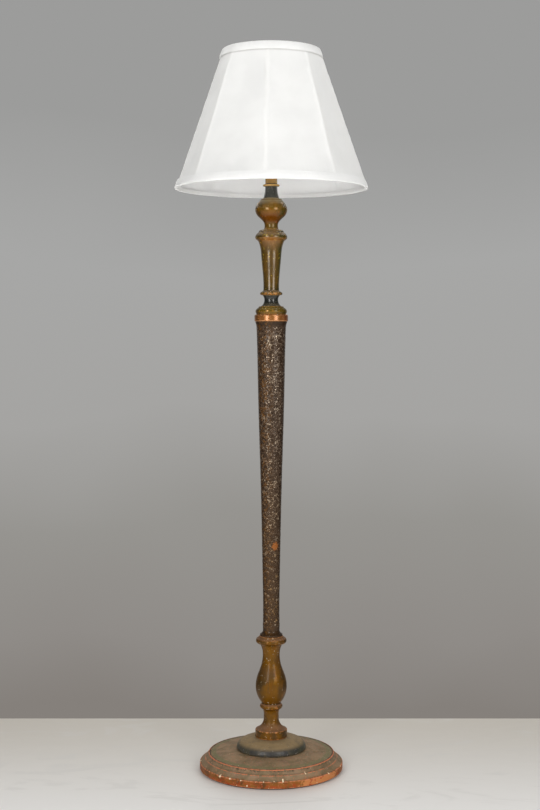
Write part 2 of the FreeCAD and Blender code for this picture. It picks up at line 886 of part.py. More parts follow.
def spider_arms(radius):
    """Three wires from the hub out to the top ring, between the ribs."""
    arms = []
    ring_radius = cone_radius(ring_top) - ring_inset
    level = spider_height + hub_thickness / 2
    for k in range(3):
        angle = shade_turn + spider_turn + 120.0 * k
        points = [
            tuple(polar(11.0, angle, level)),
            tuple(polar(ring_radius - 17.0, angle, level)),
            tuple(polar(ring_radius, angle, ring_top)),
        ]
        arms.append(wire_solid(points, radius, 18.0))
    return arms


def spider():
    """A flat hub with three bent arms."""
    bore = stud_radius + 0.5
    hub = tube(13.0, bore, spider_height, spider_height + hub_thickness)
    solid = hub.fuse(spider_arms(spider_wire))
    return solid.cut(shade_ring(ring_top))


def arm_slits():
    """The slits that the lining and the top trim need for the spider's arms."""
    return Part.makeCompound(spider_arms(spider_wire + cloth_gap))


def shade_lining():
    """The inner cloth, sewn in behind the ribs."""
    return panels(lining_inset, lining_thickness).cut(arm_slits())


def trim(edge, inward):
    """A folded tape round one edge of the shade. Inward is 1 at the bottom edge and -1 at the top."""
    far = edge + inward * trim_height
    turn = edge + inward * tape_thickness
    inner_end = edge + inward * tape_inside
    inner_lean = inward * tape_inside * cone_slope
    skin = cone_radius(turn) + cloth_gap
    inner_skin = cone_radius(turn) - trim_depth
    outline = [
        (cone_radius(far) + cloth_gap, far),
        (cone_radius(far) + cloth_gap + tape_thickness, far),
        (skin + tape_thickness, turn),
        (skin + tape_thickness / 2, edge),
        (inner_skin - tape_thickness / 2, edge),
        (inner_skin - tape_thickness, turn),
        (inner_skin - tape_thickness - inner_lean, inner_end),
        (inner_skin - inner_lean, inner_end),
        (inner_skin, turn),
        (skin, turn),
    ]
    return turned(outline)


def top_trim():
    return trim(lamp_height, -1).cut(arm_slits())


def bottom_trim():
    return trim(shade_bottom, 1)


# ---- build -------------------------------------------------------------------------------


def build():
    """Every separate piece under its own name, from the floor up."""
    return {
        "felt_pad": felt_pad(),
        "base_weight": base_weight(),
        "weight_screws": weight_screws(),
        "base_plinth": base_plinth(),
        "base_riser": base_riser(),
        "outlet_bushing": outlet_bushing(),
        "inner_lead": inner_lead(),
        "foot_nut": foot_nut(),
        "foot_washer": foot_washer(),
        "stem_pipe": stem_pipe(),
        "pedestal": pedestal(),
        "shaft": shaft(),
        "shaft_collar": shaft_collar(),
        "shaft_cap": shaft_cap(),
        "spool": spool(),
        "trumpet": trumpet(),
        "knop": knop(),
        "neck": neck(),
        "cup": cup(),
        "harp_saddle": harp_saddle(),
        "saddle_nut": saddle_nut(),
        "harp": harp(),
        "harp_stud": harp_stud(),
        "sleeve_left": sleeve(-1),
        "sleeve_right": sleeve(1),
        "socket_cap": socket_cap(),
        "cap_screw": cap_screw(),
        "socket_shell": socket_shell(),
        "shell_liner": shell_liner(),
        "socket_body": socket_body(),
        "terminal_screws": terminal_screws(),
        "screw_shell": screw_shell(),
        "centre_contact": centre_contact(),
        "switch_stem": switch_stem(),
        "switch_key": switch_key(),
        "bulb_tip": bulb_tip(),
        "bulb_insulator": bulb_insulator(),
        "bulb_base": bulb_base(),
        "bulb_stem": bulb_stem(),
        "filament": filament(),
        "bulb_glass": bulb_glass(),
        "shade_bottom_ring": shade_ring(ring_bottom),
        "shade_top_ring": shade_ring(ring_top),
        "shade_ribs": shade_ribs(),
        "spider": spider(),
        "shade_lining": shade_lining(),
        "shade_cloth": shade_cloth(),
        "bottom_trim": bottom_trim(),
        "top_trim": top_trim(),
        "finial": finial(),
    }


os.makedirs("parts", exist_ok=True)
for name, shape in build().items():
    sound = all(solid.isValid() and solid.isClosed() for solid in shape.Solids)
    state = "sound" if sound else "FAULTY"
    print(f"{name}: {len(shape.Solids)} solid(s), {shape.Volume / 1000:.2f} cm3, {state}")
    shape.exportStep(f"parts/{name}.step")
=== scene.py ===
import math

import bpy
import numpy as np
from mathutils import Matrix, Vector, noise


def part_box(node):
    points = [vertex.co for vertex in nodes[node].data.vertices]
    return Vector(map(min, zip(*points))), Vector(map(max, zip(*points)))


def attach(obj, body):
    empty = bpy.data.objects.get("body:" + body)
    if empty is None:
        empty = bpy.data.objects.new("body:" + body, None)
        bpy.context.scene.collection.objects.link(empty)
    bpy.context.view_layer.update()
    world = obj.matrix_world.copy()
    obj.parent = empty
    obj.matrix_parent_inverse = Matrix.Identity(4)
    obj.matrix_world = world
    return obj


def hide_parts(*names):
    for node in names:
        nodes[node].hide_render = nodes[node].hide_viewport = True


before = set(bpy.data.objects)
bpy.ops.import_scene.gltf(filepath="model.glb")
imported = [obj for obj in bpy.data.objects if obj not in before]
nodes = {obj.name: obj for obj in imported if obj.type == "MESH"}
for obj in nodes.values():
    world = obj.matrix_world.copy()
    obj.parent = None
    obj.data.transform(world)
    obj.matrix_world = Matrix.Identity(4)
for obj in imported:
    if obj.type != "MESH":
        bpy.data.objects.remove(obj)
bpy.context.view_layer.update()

mm = 0.001
boreRadius = 12.5 * mm       # the turned pieces hide everything inside this radius
edgeReach = 2.2 * mm         # how far round a corner the wear and the dirt spread
print("frame loaded:", len(nodes), "nodes")


# outlines and turned meshes

def outlineOf(node):
    # the section of a turned node, walked along its seam in the XZ plane: a closed loop of (r, z)
    mesh = nodes[node].data
    onSeam = {v.index: (round(v.co.x, 6), round(v.co.z, 6)) for v in mesh.vertices
              if abs(v.co.y) < 2e-6 and v.co.x > 0}
    near = {}
    for edge in mesh.edges:
        a, b = (onSeam.get(i) for i in edge.vertices)
        if a and b and a != b:
            near.setdefault(a, set()).add(b)
            near.setdefault(b, set()).add(a)
    ends = [p for p in near if len(near[p]) == 1]
    start = ends[0] if ends else max(near, key=lambda p: (-p[1], p[0]))
    loop = [start]
    while True:
        ahead = [p for p in near[loop[-1]] if p not in loop[-2:]]
        ahead = [p for p in ahead if p != loop[0] or len(loop) > 2]
        if not ahead or ahead[0] == loop[0]:
            break
        loop.append(ahead[0])
    area = sum(p[0] * q[1] - q[0] * p[1] for p, q in zip(loop, loop[1:] + loop[:1]))
    return loop if area > 0 else loop[::-1]


def anglesOf(count):
    return np.arange(count) * 2 * math.pi / count


def shortWay(angle):
    # the same angle by the shorter way round
    return (angle + math.pi) % (2 * math.pi) - math.pi


def turnAt(before, point, after):
    first = math.atan2(point[1] - before[1], point[0] - before[0])
    second = math.atan2(after[1] - point[1], after[0] - point[0])
    return shortWay(second - first)


def fineLoop(loop, step, hiddenRadius):
    # curves are rounded through their points, corners stay, hidden stretches stay coarse
    count = len(loop)
    corner = [abs(turnAt(loop[i - 1], loop[i], loop[(i + 1) % count])) > 0.36 for i in range(count)]
    fine = []
    for i in range(count):
        p, q = np.array(loop[i]), np.array(loop[(i + 1) % count])
        length = np.linalg.norm(q - p)
        hidden = max(p[0], q[0]) < hiddenRadius
        pieces = 1 if hidden else max(1, round(length / step))
        before = q - p if corner[i] else (q - np.array(loop[i - 1])) / 2
        after = q - p if corner[(i + 1) % count] else (np.array(loop[(i + 2) % count]) - p) / 2
        before = before * length / max(np.linalg.norm(before), 1e-9)
        after = after * length / max(np.linalg.norm(after), 1e-9)
        for k in range(pieces):
            t = k / pieces
            fine.append(p * (2 * t**3 - 3 * t**2 + 1) + q * (3 * t**2 - 2 * t**3)
                        + before * (t**3 - 2 * t**2 + t) + after * (t**3 - t**2))
    return np.array(fine)


def softCorners(rings, rounds):
    # worn wood has no knife edges: each round pulls a ring a little towards its neighbours
    for _ in range(rounds):
        middle = (np.roll(rings, 1, 0) + np.roll(rings, -1, 0)) / 2
        gap = np.minimum(np.linalg.norm(np.roll(rings, 1, 0) - rings, axis=1),
                         np.linalg.norm(np.roll(rings, -1, 0) - rings, axis=1))
        soft = np.linalg.norm(middle - rings, axis=1) < gap * 1.2
        rings = np.where(soft[:, None], rings * 0.5 + middle * 0.5, rings)
    return rings


def ringFacts(rings, reach):
    # per ring: outward normal in (r, z), and how far the outline turns outwards over the reach
    along = np.roll(rings, -1, 0) - np.roll(rings, 1, 0)
    along /= np.maximum(np.linalg.norm(along, axis=1), 1e-12)[:, None]
    normals = np.stack([along[:, 1], -along[:, 0]], 1)
    count = len(rings)
    turns = np.array([turnAt(rings[i - 1], rings[i], rings[(i + 1) % count]) for i in range(count)])
    steps = np.linalg.norm(np.roll(rings, -1, 0) - rings, axis=1)
    bend = np.zeros(count)
    for i in range(count):
        bend[i] = turns[i]
        for way in (1, -1):
            gone, j = 0.0, i
            while gone < reach:
                gone += steps[j] if way == 1 else steps[j - 1]
                j = (j + way) % count
                bend[i] += turns[j] * max(0.0, 1 - gone / reach)
    return normals, bend


def latheMesh(name, rings, segments, relief=None):
    # relief is the height along the normal, in metres, with a row for each ring
    count = len(rings)
    angles = anglesOf(segments)
    normals, bend = ringFacts(rings, edgeReach)
    r = np.repeat(rings[:, 0][:, None], segments, 1)
    z = np.repeat(rings[:, 1][:, None], segments, 1)
    if relief is not None:
        r = r + relief * normals[:, 0][:, None]
        z = z + relief * normals[:, 1][:, None]
    points = np.stack([r * np.cos(angles), r * np.sin(angles), z], 2).reshape(-1, 3)
    i, j = np.meshgrid(np.arange(count), np.arange(segments), indexing="ij")
    nextI, nextJ = (i + 1) % count, (j + 1) % segments
    quads = np.stack([i * segments + j, i * segments + nextJ,
                      nextI * segments + nextJ, nextI * segments + j], 2).reshape(-1, 4)
    mesh = meshFrom(name, points, quads)
    paintPoints(mesh, "edge", np.repeat(np.clip(bend, 0, 2), segments))
    paintPoints(mesh, "hollow", np.repeat(np.clip(-bend, 0, 2), segments))
    return mesh


def meshFrom(name, points, quads):
    mesh = bpy.data.meshes.new(name)
    mesh.vertices.add(len(points))
    mesh.vertices.foreach_set("co", np.asarray(points, np.float32).ravel())
    mesh.loops.add(quads.size)
    mesh.loops.foreach_set("vertex_index", np.asarray(quads, np.int32).ravel())
    mesh.polygons.add(len(quads))
    mesh.polygons.foreach_set("loop_start", np.arange(len(quads), dtype=np.int32) * 4)
    mesh.update(calc_edges=True)
    mesh.validate()
    mesh.polygons.foreach_set("use_smooth", np.ones(len(mesh.polygons), bool))
    return mesh


def paintPoints(mesh, name, values):
    layer = mesh.attributes.new(name, "FLOAT", "POINT")
    layer.data.foreach_set("value", np.asarray(values, np.float32).ravel())


def place(name, mesh, body, material, *replaced):
    piece = bpy.data.objects.new(name, mesh)
    bpy.context.scene.collection.objects.link(piece)
    mesh.materials.append(material)
    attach(piece, body)
    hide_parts(*replaced)
    return piece


def noiseField(points, size, seed):
    # smooth noise from -1 to 1 at the points, with features about as large as size
    shift = Vector((seed * 7.31, seed * 3.17, seed * 5.71))
    return np.array([noise.noise(Vector(p) / size + shift) for p in points])


# material helpers

class Paint:
    # a small wrapper, so that each finish below reads as a list of its own layers
    def __init__(self, name, **fixed):
        self.material = bpy.data.materials.new(name)
        self.material.use_nodes = True
        self.tree = self.material.node_tree
        self.shader = self.tree.nodes["Principled BSDF"]
        for socket, value in fixed.items():
            self.shader.inputs[socket.replace("_", " ")].default_value = value
        self.coords = self.add("ShaderNodeTexCoord").outputs["Object"]

    def add(self, kind, settings=None, **inputs):
        node = self.tree.nodes.new(kind)
        for key, value in (settings or {}).items():
            setattr(node, key, value)
        for key, value in inputs.items():
            self.put(node.inputs[key.replace("_", " ")], value)
        return node

    def put(self, socket, value):
        if isinstance(value, bpy.types.NodeSocket):
            self.tree.links.new(value, socket)
        else:
            socket.default_value = value

    def calc(self, operation, first, second=0.0, clamp=False):
        node = self.add("ShaderNodeMath", {"operation": operation, "use_clamp": clamp})
        self.put(node.inputs[0], first)
        self.put(node.inputs[1], second)
        return node.outputs[0]

    def times(self, first, second):
        return self.calc("MULTIPLY", first, second)

    def stretched(self, x, y, z):
        node = self.add("ShaderNodeVectorMath", {"operation": "MULTIPLY"})
        self.put(node.inputs[0], self.coords)
        node.inputs[1].default_value = (x, y, z)
        return node.outputs[0]

    def cloud(self, size, detail=3.0, roughness=0.55, distortion=0.0, stretch=(1, 1, 1), seed=0.0):
        # noise about 0.5, with features about as large as size in metres
        node = self.add("ShaderNodeTexNoise", {"noise_dimensions": "4D"}, Scale=1 / size, Detail=detail,
                        Roughness=roughness, Distortion=distortion, W=seed, Vector=self.stretched(*stretch))
        return node.outputs["Fac"]

    def mask(self, value, low, high, outLow=0.0, outHigh=1.0):
        node = self.add("ShaderNodeMapRange", {"interpolation_type": "SMOOTHSTEP"})
        for key, number in (("Value", value), ("From Min", low), ("From Max", high),
                            ("To Min", outLow), ("To Max", outHigh)):
            self.put(node.inputs[key], number)
        return node.outputs["Result"]

    def mark(self, name):
        return self.add("ShaderNodeAttribute", {"attribute_name": name}).outputs["Fac"]

    def height(self):
        return self.add("ShaderNodeSeparateXYZ", Vector=self.coords).outputs["Z"]

    def side(self):
        return self.add("ShaderNodeSeparateXYZ", Vector=self.coords).outputs["X"]

    def radius(self):
        node = self.add("ShaderNodeVectorMath", {"operation": "LENGTH"})
        self.put(node.inputs[0], self.stretched(1, 1, 0))
        return node.outputs["Value"]

    def between(self, value, low, high, soft):
        # one inside the span, zero outside it
        return self.times(self.mask(value, low - soft, low + soft),
                          self.mask(value, high + soft, high - soft))

    def facingUp(self):
        normal = self.add("ShaderNodeTexCoord").outputs["Normal"]
        return self.add("ShaderNodeSeparateXYZ", Vector=normal).outputs["Z"]

    def over(self, amount, under, top, kind="RGBA"):
        node = self.add("ShaderNodeMix", {"data_type": kind})
        for key, value in (("Factor", amount), ("A", under), ("B", top)):
            self.put(node.inputs[key], value)
        return node.outputs["Result"]

    def blend(self, amount, under, top):
        return self.over(amount, under, top, "FLOAT")

    def bumps(self, *layers):
        # each layer is (height, strength, distance in metres)
        normal = None
        for heightValue, strength, distance in layers:
            node = self.add("ShaderNodeBump", Height=heightValue, Strength=strength, Distance=distance)
            if normal is not None:
                self.put(node.inputs["Normal"], normal)
            normal = node.outputs["Normal"]
        self.put(self.shader.inputs["Normal"], normal)

    def finish(self, color, roughness=None, metallic=None):
        self.put(self.shader.inputs["Base Color"], color)
        if roughness is not None:
            self.put(self.shader.inputs["Roughness"], roughness)
        if metallic is not None:
            self.put(self.shader.inputs["Metallic"], metallic)
        return self.material


def tint(red, green, blue):
    # a colour given as seen, from 0 to 255, as the linear colour that the shader wants
    def linear(value):
        value /= 255
        return value / 12.92 if value <= 0.04045 else ((value + 0.055) / 1.055) ** 2.4
    return (linear(red), linear(green), linear(blue), 1.0)


# painted wood

def bronzePaint(name, look):
    # aged bronze paint: patina clouds, wipe marks, rubbed edges, darker in the hollows, dust on top, with
    # painted light and shade on the undersides and the two sides
    paint = Paint(name, Specular_IOR_Level=look["gloss"], Specular_Tint=look["glint"],
                  Coat_Weight=look["coat"], Coat_Roughness=0.14)
    clouds = paint.cloud(0.022, 4, 0.6, 0.6, (1, 1, 0.6))
    wipes = paint.cloud(0.006, 3, 0.5, 0.2, (1, 1, 0.12), 3.0)
    fine = paint.cloud(0.0016, 3, 0.6)
    color = paint.over(paint.mask(clouds, 0.34, 0.72), look["main"], look["deep"])
    color = paint.over(paint.mask(wipes, 0.50, 0.78, 0, 0.65), color, look["warm"])
    facing = paint.facingUp()
    # surfaces that face down get the under tone as painted light: a painted highlight on the trumpet's
    # flare, painted shade under most other pieces
    paintedBelow = paint.times(paint.mask(facing, 0.10, -0.75), look["paintedBelowAmount"])
    color = paint.over(paintedBelow, color, look["under"])
    # painted side tones as seen from the front: mostly painted shade darkening towards the edges, with a
    # green patina on the right as well
    sideToneBreakup = paint.mask(paint.cloud(0.015, 3, 0.5, 0.3, seed=5.0), 0.30, 0.60)
    paintedSidesReach = look["paintedSidesReach"]
    for reach, amount, shade in ((paintedSidesReach, 0.75, look["green"]), (-paintedSidesReach, 0.65, look["dark"])):
        onSide = paint.mask(paint.side(), reach * 0.3, reach, 0, amount)
        color = paint.over(paint.times(sideToneBreakup, onSide), color, shade)
    ragged = paint.mask(paint.cloud(0.005, 4, 0.65, seed=8.0), 0.2, 0.8, -0.6, 0.6)
    rubbed = paint.mask(paint.calc("ADD", paint.mark("edge"), ragged), 0.50, 0.90)
    color = paint.over(paint.times(rubbed, look["rubbedAmount"]), color, look["rubbed"])
    # darker in the hollows
    hollowDark = paint.mask(paint.calc("ADD", paint.mark("hollow"), ragged), 0.35, 1.0, 0, 0.9)
    color = paint.over(hollowDark, color, look["hollowDark"])
    patchy = paint.mask(paint.cloud(0.012, 4, 0.6, seed=2.0), 0.15, 0.55, 0.35, 1.0)
    dusty = paint.times(paint.mask(facing, look["dustFrom"], look["dustFrom"] + 0.5), patchy)
    dusty = paint.times(dusty, look["dustAmount"])
    color = paint.over(dusty, color, look["dust"])
    specks = paint.mask(paint.cloud(0.0036, 2, 0.5, seed=11.0), 0.67, 0.70)
    color = paint.over(paint.times(specks, 0.8), color, look["speck"])
    rough = paint.mask(clouds, 0.3, 0.7, look["roughLow"], look["roughHigh"])
    rough = paint.blend(dusty, rough, 0.8)
    rough = paint.blend(hollowDark, rough, 0.7)
    metal = paint.times(paint.calc("SUBTRACT", 1.0, dusty), look["metal"])
    paint.bumps((wipes, 0.2, 0.4 * mm), (fine, 0.16, 0.25 * mm), (paint.cloud(0.011, 2), 0.35, 0.5 * mm))
    return paint.finish(color, rough, metal)


bronzeLook = {
    "main": tint(88, 64, 14), "deep": tint(54, 46, 14), "warm": tint(108, 66, 14),
    # under: painted light for surfaces that face down; green and dark: painted tones for the two sides, seen
    # from the front
    "under": tint(150, 92, 30), "green": tint(40, 50, 16), "dark": tint(52, 42, 10),
    "rubbed": tint(184, 124, 54), "hollowDark": tint(34, 24, 10), "dust": tint(136, 108, 72),
    "speck": tint(206, 176, 60), "glint": tint(255, 244, 230),
    "paintedSidesReach": 0.022,                          # metres from the axis to the full painted side tone
    "dustFrom": 0.25,                        # how far upwards a surface faces before dust settles
    "paintedBelowAmount": 0.6, "rubbedAmount": 0.8, "dustAmount": 0.5,
    "metal": 0.2, "gloss": 0.5, "coat": 0.7, "roughLow": 0.20, "roughHigh": 0.32,
}
blackLook = dict(bronzeLook, **{
    "main": tint(36, 37, 32), "deep": tint(22, 23, 20), "warm": tint(48, 48, 40),
    "under": tint(30, 30, 28), "green": tint(30, 36, 30), "dark": tint(24, 25, 22),
    "rubbed": tint(92, 80, 54), "hollowDark": tint(18, 18, 16), "dust": tint(104, 92, 66),
    "speck": tint(120, 110, 80), "glint": tint(255, 250, 244),
    "dustAmount": 0.35, "metal": 0.0, "coat": 0.5, "roughLow": 0.20, "roughHigh": 0.30,
})


def turnedPiece(node, body, material, segments=256, step=0.7, rounds=3, relief=None):
    rings = fineLoop(outlineOf(node), step * mm, boreRadius)
    rings = softCorners(rings, rounds)
    heights = relief(rings, segments) if relief else None
    name = "turned_" + node
    return place(name, latheMesh(name, rings, segments, heights), body, material, node)


def handTurned(amount, size, seed):
    # slight unevenness of a hand-finished turning
    def relief(rings, segments):
        angles = anglesOf(segments)
        points = np.stack([np.outer(rings[:, 0], np.cos(angles)), np.outer(rings[:, 0], np.sin(angles)),
                           np.repeat(rings[:, 1][:, None], segments, 1)], 2).reshape(-1, 3)
        return noiseField(points, size, seed).reshape(len(rings), segments) * amount
    return relief


def buildColumn():
    amber = dict(bronzeLook, main=tint(114, 74, 6), deep=tint(80, 58, 32), warm=tint(126, 70, 4),
                 under=tint(116, 74, 2), dark=tint(48, 36, 12), green=tint(44, 34, 16), paintedSidesReach=0.028,
                 rubbed=tint(206, 134, 76), dust=tint(146, 108, 84), speck=tint(206, 190, 164), metal=0.3,
                 glint=tint(255, 210, 140), roughLow=0.34, roughHigh=0.48, coat=0.15)
    oliveGold = dict(bronzeLook, main=tint(114, 88, 14), deep=tint(78, 60, 10), warm=tint(128, 84, 10),
                     under=tint(100, 64, 8), dust=tint(108, 90, 46), paintedSidesReach=0.034, glint=tint(255, 214, 150),
                     metal=0.4)
    copperBronze = dict(bronzeLook, main=tint(114, 78, 10), deep=tint(84, 66, 20), warm=tint(128, 72, 6),
                        under=tint(90, 45, 1), paintedBelowAmount=0.9, dust=tint(150, 140, 108), dustAmount=0.9,
                        dustFrom=0.40, rubbed=tint(150, 110, 50), speck=tint(176, 84, 30),
                        paintedSidesReach=0.027, coat=0.5, glint=tint(255, 222, 170))
    copper = dict(bronzeLook, main=tint(164, 104, 52), deep=tint(112, 72, 34), warm=tint(200, 142, 92),
                  rubbed=tint(222, 160, 108), green=tint(112, 56, 28), dark=tint(60, 44, 10), paintedSidesReach=0.036,
                  dustAmount=0.2, speck=tint(120, 40, 22), metal=0.45, glint=tint(255, 214, 180))
    brassPaint = dict(bronzeLook, main=tint(186, 142, 68), deep=tint(156, 116, 48), warm=tint(200, 148, 66),
                      rubbed=tint(210, 168, 94), metal=0.3, dustAmount=0.3)
    neckPaint = dict(blackLook, main=tint(50, 52, 45), deep=tint(38, 40, 34))
    pieces = [
        ("pedestal", "amberPaint", amber, 256),
        ("shaft_cap", "oliveGoldPaint", oliveGold, 256),
        ("spool", "blackPaint", blackLook, 192),
        ("trumpet", "bronzePaint", bronzeLook, 256),
        ("knop", "copperBronzePaint", copperBronze, 256),
        ("neck", "neckPaint", neckPaint, 192),
    ]
    for seed, (node, name, look, segments) in enumerate(pieces):
        uneven = handTurned(0.12 * mm, 14 * mm, seed)
        turnedPiece(node, "stand", bronzePaint(name, look), segments, relief=uneven)
    turnedPiece("shaft_collar", "stand", bronzePaint("copperPaint", copper), 256, rounds=2)
    turnedPiece("cup", "stand", bronzePaint("agedBrass", brassPaint), 192, step=0.5, rounds=2)


shaftLook = {
    "step": 0.85, "segments": 220,           # mm between rings, points round
    "depth": 0.55, "pebble": 7.5,            # mm
    "plainFoot": 32, "plainHead": 22,        # mm without relief at the two ends
    # top is the pale paint on the crests, partly real worn paint and partly painted glints
    "valley": tint(42, 28, 18), "slope": tint(70, 54, 42), "top": tint(190, 175, 154),
    "gold": tint(152, 114, 60), "orange": tint(112, 72, 22), "bare": tint(150, 86, 32),
    "brown": tint(58, 38, 18),
    "bareAt": (0.0095, -0.018, 0.497),       # a patch rubbed through to the wood, low on the front right
}


def shaftRelief(rings, segments):
    # lumpy, curling relief pressed in the gesso, left off the plain foot and the flared top
    angles = anglesOf(segments)
    size = shaftLook["pebble"] * mm
    relief = np.zeros((len(rings), segments))
    low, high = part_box("shaft")[0].z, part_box("shaft")[1].z
    foot = low + shaftLook["plainFoot"] * mm
    head = high - shaftLook["plainHead"] * mm
    # three plain noises make the warp, because noise_vector differs from run to run
    shifts = [Vector((0, 0, 0)), Vector((9.3, -1.5, -8.0)), Vector((6.3, 11.2, -3.6))]
    for i, (r, z) in enumerate(rings):
        fade = min(max((z - foot) / (6 * mm), 0), 1) * min(max((head - z) / (8 * mm), 0), 1)
        if r < 14 * mm or fade == 0:
            continue
        for j, angle in enumerate(angles):
            spot = Vector((r * math.cos(angle), r * math.sin(angle), z)) / size
            warp = Vector([noise.noise(spot * 0.8 + shift) for shift in shifts]) * 0.7
            near = noise.voronoi(spot * 1.3 + warp)[0]
            lump = min((near[1] - near[0]) * 2.0, 1.0)
            # ridges that curl like worm tracks
            curl = max(1 - abs(noise.noise(spot * 1.3 + warp + Vector((9, 4, 2)))) * 3.2, 0.0)
            relief[i, j] = fade * (0.35 * lump + 0.65 * curl)
    return relief


def shaftPaint():
    look = shaftLook
    paint = Paint("reliefPaint", Specular_IOR_Level=0.4, Specular_Tint=tint(255, 232, 204),
                  Coat_Weight=0.2, Coat_Roughness=0.12)
    relief = paint.mark("relief")
    fine = paint.cloud(0.0011, 3, 0.6)
    raised = paint.calc("ADD", relief, paint.mask(fine, 0.3, 0.7, -0.18, 0.18))
    patches = paint.cloud(0.030, 3, 0.6, 0.5)
    small = paint.cloud(0.006, 3, 0.65, 0.3, seed=4.0)
    color = paint.over(paint.mask(raised, 0.05, 0.50), look["valley"], look["slope"])
    lowDown = paint.mask(paint.height(), 0.80, 0.35, 0, 0.8)
    color = paint.over(lowDown, color, look["brown"])
    warmSide = paint.mask(paint.side(), 0.012, -0.020, 0, 0.65)
    orange = paint.times(paint.mask(small, 0.46, 0.62), warmSide)
    color = paint.over(orange, color, look["orange"])
    # the light paint is left on the crests, more of it in some patches than in others; these pale crests
    # also stand in for glints, as painted highlights
    left = paint.calc("ADD", small, paint.mask(patches, 0.3, 0.7, -0.10, 0.10))
    worn = paint.times(paint.mask(raised, 0.55, 0.85), paint.mask(left, 0.44, 0.56))
    goldLow = paint.mask(paint.height(), 0.75, 0.35, 0.2, 0.95)
    golden = paint.times(paint.mask(patches, 0.35, 0.62), goldLow)
    paleCrestsAndGlints = paint.over(golden, look["top"], look["gold"])
    color = paint.over(paint.times(worn, 0.85), color, paleCrestsAndGlints)
    away = paint.add("ShaderNodeVectorMath", {"operation": "DISTANCE"})
    paint.put(away.inputs[0], paint.coords)
    away.inputs[1].default_value = look["bareAt"]
    bare = paint.calc("ADD", away.outputs["Value"], paint.mask(small, 0.3, 0.7, -0.003, 0.003))
    color = paint.over(paint.mask(bare, 0.010, 0.007, 0, 0.85), color, look["bare"])
    # painted shade: both sides, as seen from the front, darken towards the edges in the valley colour
    paintedEdgeShade = paint.calc("DIVIDE", paint.calc("ABSOLUTE", paint.side()), paint.radius())
    color = paint.over(paint.mask(paintedEdgeShade, 0.55, 0.95, 0, 0.45), color, look["valley"])
    rough = paint.mask(raised, 0.2, 0.9, 0.42, 0.18)
    paint.bumps((relief, 0.5, 0.6 * mm), (fine, 0.15, 0.3 * mm))
    return paint.finish(color, rough, paint.mask(worn, 0, 1, 0.1, 0.5))


def buildShaft():
    rings = fineLoop(outlineOf("shaft"), shaftLook["step"] * mm, boreRadius)
    rings = softCorners(rings, 2)
    relief = shaftRelief(rings, shaftLook["segments"])
    mesh = latheMesh("turned_shaft", rings, shaftLook["segments"], (relief - 0.5) * shaftLook["depth"] * mm)
    paintPoints(mesh, "relief", relief)
    place("turned_shaft", mesh, "stand", shaftPaint(), "shaft")


# base

baseLook = {
    "segments": 900, "step": 0.8,
    "band": tint(134, 83, 28), "bandDark": tint(94, 58, 22), "bandRed": tint(156, 64, 24),
    "dusty": tint(140, 116, 88), "dustyDark": tint(112, 96, 70), "green": tint(108, 106, 74),
    "pink": tint(142, 112, 94), "hollowDark": tint(46, 40, 28), "salmon": tint(192, 116, 80),
    "wood": tint(188, 120, 68), "cream": tint(230, 214, 180), "stain": tint(70, 64, 60),
    "greenRing": (0.122, 0.1325), "shadowRing": (0.1340, 0.1385),   # radii in metres
    "bandTop": 0.0185,                       # height of the upright band, in metres
    "bareAt": 42, "bareSpread": 24,          # degrees to the right of the front, and half its width
}
# chips by angle from the front in degrees (positive to the left), height and size in mm, and depth
baseChips = [
    (-9, 19.4, 2.8, 0.8), (44, 16.6, 3.0, 0.8), (34, 16.8, 2.2, 0.6), (19, 7.5, 1.5, 0.6),
    (24, 17.0, 1.6, 0.5),
    (6, 17.8, 1.2, 0.4), (-2, 18.2, 1.1, 0.4), (12, 16.8, 1.1, 0.4), (-6, 0.9, 1.4, 0.4),
    (-30, 26.8, 1.8, 0.5), (-52, 17.5, 2.0, 0.6), (28, 5.5, 1.2, 0.4), (2, 4.6, 1.3, 0.4),
    (-38, 6.0, 1.5, 0.4), (58, 17.3, 1.6, 0.5), (88, 17.0, 2.4, 0.7), (120, 17.5, 1.8, 0.5),
    (150, 16.0, 2.2, 0.7), (185, 17.6, 1.9, 0.6), (215, 16.8, 2.5, 0.8), (250, 17.2, 1.8, 0.5),
    (285, 17.0, 2.1, 0.6), (165, 6.0, 1.6, 0.4), (232, 5.2, 1.9, 0.5),
]


def baseRelief(rings, segments):
    angles = anglesOf(segments)
    height = np.zeros((len(rings), segments))
    chipMask = np.zeros((len(rings), segments))
    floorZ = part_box("felt_pad")[0].z
    for degrees, z, size, depth in baseChips:
        toward = math.radians(-90 - degrees)
        for i, (r, ringZ) in enumerate(rings):
            if r < 0.120 or abs(ringZ - floorZ - z * mm) > size * mm * 1.6:
                continue
            away = shortWay(angles - toward)
            flat = np.abs(away) * r
            wobble = 1 + 0.35 * np.sin(away * 190 + z) + 0.2 * np.sin(away * 410 + degrees)
            reach = np.sqrt(flat**2 + (ringZ - floorZ - z * mm) ** 2) / (size * mm * wobble)
            inside = np.clip(1.1 - reach, 0, 0.5) / 0.5
            height[i] -= inside * depth * mm
            chipMask[i] = np.maximum(chipMask[i], inside)
    return height, chipMask


